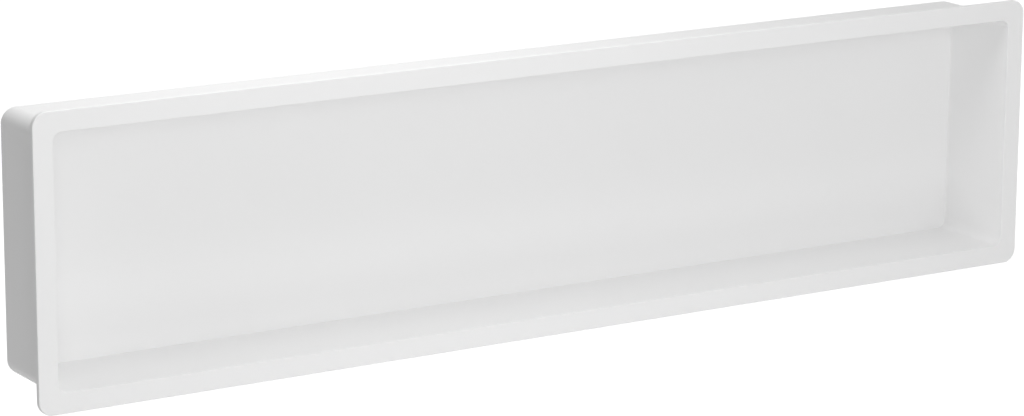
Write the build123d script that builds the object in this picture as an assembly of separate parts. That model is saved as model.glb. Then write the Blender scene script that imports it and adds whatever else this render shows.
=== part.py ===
from build123d import *

import os

# Shower niche insert, moulded in one piece: an open-fronted tray with a flat flange around its mouth.
# X runs along the width, +Y goes into the wall and Z is up.
# The flange seats on the finished wall, whose plane is Y = 0, and the tray hangs behind it.

# Flange, which laps over the finished wall
flange_width = 1200.0
flange_height = 298.0
flange_thickness = 5.0
flange_lap = 15.0  # how far the flange reaches past the body on each side
flange_corner_radius = 15.0
flange_edge_radius = 1.0  # rounding of the outer edge of the face
flange_root_radius = 1.0  # blend from the back of the flange into the body

# Body, which goes through the cut-out in the wall
wall = 6.0  # side walls and back panel alike
body_edge_radius = 1.5  # rounding around the outside of the back panel

# Niche, the open space inside the body
niche_depth = 100.0  # from the face of the flange to the back panel
niche_corner_radius = 10.0
niche_root_radius = 1.0  # blend from the walls and shelf into the back panel
mouth_radius = 0.5  # rounding of the edge between the face and the niche

# Sizes that follow from the ones above
body_width = flange_width - 2 * flange_lap
body_height = flange_height - 2 * flange_lap
niche_width = body_width - 2 * wall
niche_height = body_height - 2 * wall
body_corner_radius = niche_corner_radius + wall  # keeps the wall even around the corners
face_y = -flange_thickness
niche_back_y = face_y + niche_depth
body_back_y = niche_back_y + wall


def rounded_block(width, height, corner_radius, front_y, back_y):
    outline = Plane.XZ.offset(-back_y) * RectangleRounded(width, height, corner_radius)
    return extrude(outline, amount=back_y - front_y)


def front_face(solid):
    return solid.faces().filter_by(Axis.Y).sort_by(Axis.Y)[0]


def back_face(solid):
    return solid.faces().filter_by(Axis.Y).sort_by(Axis.Y)[-1]


def make_flange():
    flange = rounded_block(flange_width, flange_height, flange_corner_radius, face_y, 0)
    return fillet(front_face(flange).edges(), flange_edge_radius)


def make_body():
    body = rounded_block(body_width, body_height, body_corner_radius, face_y, body_back_y)
    return fillet(back_face(body).edges(), body_edge_radius)


def make_niche():
    niche = rounded_block(niche_width, niche_height, niche_corner_radius, face_y, niche_back_y)
    return fillet(back_face(niche).edges(), niche_root_radius)


def make_insert():
    shell = make_flange() + make_body()
    seat = shell.faces().filter_by(Axis.Y).sort_by(Axis.Y)[1]
    shell = fillet(seat.inner_wires().edges(), flange_root_radius)
    insert = shell - make_niche()
    return fillet(front_face(insert).inner_wires().edges(), mouth_radius)


os.makedirs("parts", exist_ok=True)
export_step(make_insert(), "parts/niche_insert.step")
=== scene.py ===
import math

import bmesh
import bpy
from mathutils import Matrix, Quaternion, Vector


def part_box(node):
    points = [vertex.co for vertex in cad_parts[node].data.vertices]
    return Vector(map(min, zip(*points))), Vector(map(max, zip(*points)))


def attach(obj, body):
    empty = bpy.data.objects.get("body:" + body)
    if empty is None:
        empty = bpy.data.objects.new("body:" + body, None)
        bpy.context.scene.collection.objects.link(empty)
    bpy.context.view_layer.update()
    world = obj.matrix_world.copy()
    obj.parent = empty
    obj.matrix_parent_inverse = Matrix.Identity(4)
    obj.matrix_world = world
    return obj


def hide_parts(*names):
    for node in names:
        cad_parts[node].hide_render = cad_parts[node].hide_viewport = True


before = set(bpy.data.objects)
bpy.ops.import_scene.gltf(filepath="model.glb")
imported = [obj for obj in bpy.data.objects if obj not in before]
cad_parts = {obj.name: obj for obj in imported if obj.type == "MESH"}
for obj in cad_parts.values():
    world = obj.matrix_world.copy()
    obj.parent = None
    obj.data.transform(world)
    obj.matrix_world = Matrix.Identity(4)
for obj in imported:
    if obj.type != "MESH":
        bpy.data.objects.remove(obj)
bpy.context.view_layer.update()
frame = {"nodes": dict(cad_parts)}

print("frame loaded, nodes:", ", ".join(frame["nodes"]))


# helpers for selecting, and for the rounded rectangles that the insert is made of

def selectNothing():
    if bpy.context.mode == "EDIT_MESH":
        bpy.ops.mesh.select_all(action="DESELECT")
    else:
        bpy.ops.object.select_all(action="DESELECT")


def pick(kind, test):  # kind is VERT, EDGE or FACE, test says yes or no to each one
    bpy.ops.mesh.select_mode(type=kind)
    selectNothing()
    mesh = bpy.context.edit_object.data
    cage = bmesh.from_edit_mesh(mesh)
    for part in {"VERT": cage.verts, "EDGE": cage.edges, "FACE": cage.faces}[kind]:
        if test(part):
            part.select_set(True)
    cage.select_flush_mode()
    bmesh.update_edit_mesh(mesh)


def onOutline(point, outline, y):  # is this point on that rounded rectangle, at that depth
    closeEnough = 0.00003
    if abs(point.y - y) > closeEnough:
        return False
    beyondX = abs(point.x) - (outline["width"] / 2 - outline["corner"])
    beyondZ = abs(point.z) - (outline["height"] / 2 - outline["corner"])
    gap = math.hypot(max(beyondX, 0), max(beyondZ, 0)) + min(max(beyondX, beyondZ), 0)
    return abs(gap - outline["corner"]) < closeEnough


def allOn(outline, y):  # for an edge or a face
    return lambda part: all(onOutline(v.co, outline, y) for v in part.verts)


def smaller(outline, margin, corner):  # the outline that lies a margin inside another one
    return {
        "width": outline["width"] - 2 * margin,
        "height": outline["height"] - 2 * margin,
        "corner": corner,
    }


def cornerCentre(outline):  # of the arc in its upper right corner
    radius = outline["corner"]
    return Vector((outline["width"] / 2 - radius, 0, outline["height"] / 2 - radius))


# white resin

whiteResin = {
    "tones": ((0.902, 0.902, 0.902), (0.918, 0.918, 0.918)),  # faint clouding of the resin
    "cloudSize": 0.22,
    "cloudDetail": 3,
    "roughness": (0.43, 0.53),
    "roughPatch": 0.035,
    "grainSize": 0.0011,  # fine mould texture
    "grainDepth": 0.00004,
    "grainStrength": 0.5,
    "ior": 1.49,
}


def makeWhiteResin(look):
    material = bpy.data.materials.new("whiteResin")
    material.use_nodes = True
    nodes = material.node_tree.nodes
    wire = material.node_tree.links.new
    shader = nodes["Principled BSDF"]
    shader.inputs["IOR"].default_value = look["ior"]
    place = nodes.new("ShaderNodeTexCoord")

    clouds = nodes.new("ShaderNodeTexNoise")
    clouds.inputs["Scale"].default_value = 1 / look["cloudSize"]
    clouds.inputs["Detail"].default_value = look["cloudDetail"]
    tone = nodes.new("ShaderNodeValToRGB")
    for stop, colour in zip(tone.color_ramp.elements, look["tones"]):
        stop.color = (*colour, 1)
    wire(place.outputs["Object"], clouds.inputs["Vector"])
    wire(clouds.outputs["Fac"], tone.inputs["Fac"])
    wire(tone.outputs["Color"], shader.inputs["Base Color"])

    patches = nodes.new("ShaderNodeTexNoise")
    patches.inputs["Scale"].default_value = 1 / look["roughPatch"]
    satin = nodes.new("ShaderNodeMapRange")
    satin.inputs["To Min"].default_value = look["roughness"][0]
    satin.inputs["To Max"].default_value = look["roughness"][1]
    wire(place.outputs["Object"], patches.inputs["Vector"])
    wire(patches.outputs["Fac"], satin.inputs["Value"])
    wire(satin.outputs["Result"], shader.inputs["Roughness"])

    grain = nodes.new("ShaderNodeTexNoise")
    grain.inputs["Scale"].default_value = 1 / look["grainSize"]
    bump = nodes.new("ShaderNodeBump")
    bump.inputs["Strength"].default_value = look["grainStrength"]
    bump.inputs["Distance"].default_value = look["grainDepth"]
    wire(place.outputs["Object"], grain.inputs["Vector"])
    wire(grain.outputs["Fac"], bump.inputs["Height"])
    wire(bump.outputs["Normal"], shader.inputs["Normal"])
    return material


# the insert: a tray with a flange around its mouth, moulded in one

insert = {
    "flangeThickness": 0.005,
    "flangeLap": 0.015,  # flange past the body, each side
    "flangeCorner": 0.015,
    "flangeEdge": 0.001,
    "flangeRoot": 0.001,
    "wall": 0.006,  # sides and back alike
    "bodyEdge": 0.0015,
    "nicheCorner": 0.010,
    "nicheRoot": 0.001,
    "mouthEdge": 0.0005,
    "cornerSteps": 16,
    "edgeSteps": 6,
    "firstInset": 0.3,  # of the corner radius, shallow enough to keep the arcs round
    "smoothUpTo": 40,  # degrees
}


def addFace(outline, y):  # an upright plane with its four corners rounded
    bpy.ops.mesh.primitive_plane_add(size=1, location=(0, y, 0), rotation=(math.pi / 2, 0, 0))
    bpy.ops.transform.resize(value=(outline["width"], 1, outline["height"]), center_override=(0, y, 0))
    bpy.ops.mesh.bevel(offset=outline["corner"], segments=insert["cornerSteps"], affect="VERTICES",
                       clamp_overlap=False)


def extrudeFace(outline, fromY, toY):
    pick("FACE", allOn(outline, fromY))
    bpy.ops.mesh.extrude_region_move(TRANSFORM_OT_translate={"value": (0, toY - fromY, 0)})


def insetFace(outline, inner, y):  # a shallow inset, whose corners then slide in and change radius
    margin = insert["firstInset"] * outline["corner"]
    rough = smaller(outline, margin, outline["corner"] - margin)
    pick("FACE", allOn(outline, y))
    bpy.ops.mesh.inset(thickness=margin)
    start, end = cornerCentre(rough), cornerCentre(inner)
    swell = inner["corner"] / rough["corner"]
    for sideX, sideZ in ((-1, -1), (-1, 1), (1, -1), (1, 1)):
        side = Vector((sideX, 1, sideZ))
        pick("VERT", lambda v: onOutline(v.co, rough, y) and v.co.x * sideX > 0 and v.co.z * sideZ > 0)
        bpy.ops.transform.translate(value=(end - start) * side)
        centre = end * side + Vector((0, y, 0))
        bpy.ops.transform.resize(value=(swell, 1, swell), center_override=centre)


def roundEdge(outline, y, radius):
    pick("EDGE", allOn(outline, y))
    bpy.ops.mesh.bevel(offset=radius, segments=insert["edgeSteps"], affect="EDGES", clamp_overlap=False)


def makeInsert():
    low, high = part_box("niche_insert")
    faceY, seatY, backY = low.y, low.y + insert["flangeThickness"], high.y
    nicheBackY = backY - insert["wall"]
    flange = {"width": high.x - low.x, "height": high.z - low.z, "corner": insert["flangeCorner"]}
    body = smaller(flange, insert["flangeLap"], insert["nicheCorner"] + insert["wall"])
    niche = smaller(body, insert["wall"], insert["nicheCorner"])

    selectNothing()
    bpy.ops.object.add(type="MESH", location=(0, 0, 0))
    tray = bpy.context.object
    tray.name = tray.data.name = "moulded_insert"
    bpy.ops.object.mode_set(mode="EDIT")
    addFace(flange, seatY)
    extrudeFace(flange, seatY, faceY)
    insetFace(flange, niche, faceY)
    extrudeFace(niche, faceY, nicheBackY)
    insetFace(flange, body, seatY)
    extrudeFace(body, seatY, backY)
    print("insert: flange, niche and body drawn out of one face")

    roundEdge(niche, faceY, insert["mouthEdge"])
    roundEdge(niche, nicheBackY, insert["nicheRoot"])
    roundEdge(flange, faceY, insert["flangeEdge"])
    roundEdge(body, seatY, insert["flangeRoot"])
    roundEdge(body, backY, insert["bodyEdge"])
    bpy.ops.mesh.select_all(action="SELECT")
    bpy.ops.mesh.normals_make_consistent(inside=False)
    bpy.ops.object.mode_set(mode="OBJECT")
    bpy.ops.object.shade_smooth_by_angle(angle=math.radians(insert["smoothUpTo"]))
    flatFaces = tray.modifiers.new("flatFaces", "WEIGHTED_NORMAL")
    flatFaces.keep_sharp = True
    bpy.ops.object.modifier_apply(modifier=flatFaces.name)
    print("insert: edges rounded,", len(tray.data.polygons), "faces")

    tray.data.materials.append(makeWhiteResin(whiteResin))
    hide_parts("niche_insert")
    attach(tray, "root")


makeInsert()


# floor, white where nothing shades it

studioFloor = {
    "size": 40.0,
    "height": -1.1,  # about as high as such a niche hangs
    "colour": (0.8, 0.8, 0.8),
    "lift": 0.85,  # brings the lit floor up to white for the eye alone
}


def eyeRays(nodes, wire):  # 1 where the eye, a reflection or a look through glass meets the surface
    path = nodes.new("ShaderNodeLightPath")
    eyeOrMirror = nodes.new("ShaderNodeMath")
    eyeOrMirror.operation = "MAXIMUM"
    wire(path.outputs["Is Camera Ray"], eyeOrMirror.inputs[0])
    wire(path.outputs["Is Glossy Ray"], eyeOrMirror.inputs[1])
    anyOfThem = nodes.new("ShaderNodeMath")
    anyOfThem.operation = "MAXIMUM"
    wire(eyeOrMirror.outputs[0], anyOfThem.inputs[0])
    wire(path.outputs["Is Transmission Ray"], anyOfThem.inputs[1])
    return anyOfThem.outputs[0]


def makeFloor():
    selectNothing()
    bpy.ops.mesh.primitive_plane_add(size=studioFloor["size"], location=(0, 0, studioFloor["height"]))
    floor = bpy.context.object
    floor.name = "studio_floor"
    material = bpy.data.materials.new("paleFloor")
    material.use_nodes = True
    nodes = material.node_tree.nodes
    wire = material.node_tree.links.new
    nodes.remove(nodes["Principled BSDF"])
    paint = nodes.new("ShaderNodeBsdfDiffuse")
    paint.inputs["Color"].default_value = (*studioFloor["colour"], 1)
    glow = nodes.new("ShaderNodeEmission")
    strength = nodes.new("ShaderNodeMath")
    strength.operation = "MULTIPLY"
    strength.inputs[1].default_value = studioFloor["lift"]
    both = nodes.new("ShaderNodeAddShader")
    wire(eyeRays(nodes, wire), strength.inputs[0])
    wire(strength.outputs[0], glow.inputs["Strength"])
    wire(paint.outputs[0], both.inputs[0])
    wire(glow.outputs[0], both.inputs[1])
    wire(both.outputs[0], nodes["Material Output"].inputs["Surface"])
    floor.data.materials.append(material)


makeFloor()
print("floor laid")


# soft studio light

studioLight = {
    "sky": 0.34,
    "backdrop": 1.0,  # white, for the eye alone
    "lamps": {  # where it hangs, what it points at, its width and height, and its power in watts
        "leftBox": ((-1.3, -2.1, 0.3), (-0.25, 0.0, 0.05), (0.9, 1.3), 11.7),
        "rightBox": ((1.2, -2.0, 0.8), (0.0, 0.0, 0.0), (2.0, 1.6), 6.2),
        "sideBox": ((2.4, -1.0, 1.2), (0.2, 0.0, 0.0), (1.2, 1.0), 2.9),
        "nearBox": ((0.3, -1.6, 0.1), (0.3, 0.0, 0.1), (0.8, 1.4), 2.6),
        "overheadBox": ((-0.25, 0.0, 1.0), (-0.25, 0.001, 0.0), (0.6, 1.2), 4.9),  # a hair off plumb
        "highLamp": ((-0.3, -0.6, 1.8), (-0.2, 0.0, 0.0), (0.71, 0.71), 4.5),
        "lowLamp": ((-0.2, -1.0, -0.6), (0.5, 0.0, 0.0), (0.6, 0.4), 1.7),
        "backLamp": ((0.6, 2.6, -0.5), (0.0, 0.1, 0.0), (1.6, 0.8), 20.0),
    },
}


def makeLamp(name, place, aim, size, power):
    selectNothing()
    bpy.ops.object.light_add(type="AREA", location=place)
    lamp = bpy.context.object
    lamp.name = name
    lamp.rotation_euler = (Vector(aim) - Vector(place)).to_track_quat("-Z", "Y").to_euler()
    lamp.data.shape = "RECTANGLE"
    lamp.data.size, lamp.data.size_y = size
    lamp.data.energy = power
    lamp.visible_camera = False


def makeSky():
    world = bpy.data.worlds.new("studioSky")
    world.use_nodes = True
    bpy.context.scene.world = world
    nodes = world.node_tree.nodes
    wire = world.node_tree.links.new
    soft = nodes["Background"]
    soft.inputs["Color"].default_value = (1, 1, 1, 1)
    soft.inputs["Strength"].default_value = studioLight["sky"]
    white = nodes.new("ShaderNodeBackground")
    white.inputs["Color"].default_value = (1, 1, 1, 1)
    white.inputs["Strength"].default_value = studioLight["backdrop"]
    choose = nodes.new("ShaderNodeMixShader")
    wire(eyeRays(nodes, wire), choose.inputs["Fac"])
    wire(soft.outputs[0], choose.inputs[1])
    wire(white.outputs[0], choose.inputs[2])
    wire(choose.outputs[0], nodes["World Output"].inputs["Surface"])


makeSky()
for lampName, lampSetting in studioLight["lamps"].items():
    makeLamp(lampName, *lampSetting)
bpy.context.scene.view_settings.view_transform = "Standard"
print("lamps hung")


# camera, front left and a little above

viewer = {
    "aim": (-0.0673, -0.005, -0.0068),
    "distance": 3.7944,
    "swing": 32.12,  # degrees to the left of straight on
    "rise": 13.265,  # degrees above level
    "roll": 0.263,  # degrees
    "lens": 130.49,
    "sensor": 36.0,
}


def makeCamera():
    swing, rise = math.radians(viewer["swing"]), math.radians(viewer["rise"])
    level = math.cos(rise)
    towards = Vector((-math.sin(swing) * level, -math.cos(swing) * level, math.sin(rise)))
    turn = (-towards).to_track_quat("-Z", "Y") @ Quaternion((0, 0, 1), math.radians(viewer["roll"]))
    selectNothing()
    bpy.ops.object.camera_add(location=Vector(viewer["aim"]) + towards * viewer["distance"],
                              rotation=turn.to_euler())
    camera = bpy.context.object
    camera.data.lens = viewer["lens"]
    camera.data.sensor_width = viewer["sensor"]
    bpy.context.scene.camera = camera


makeCamera()
print("camera set")
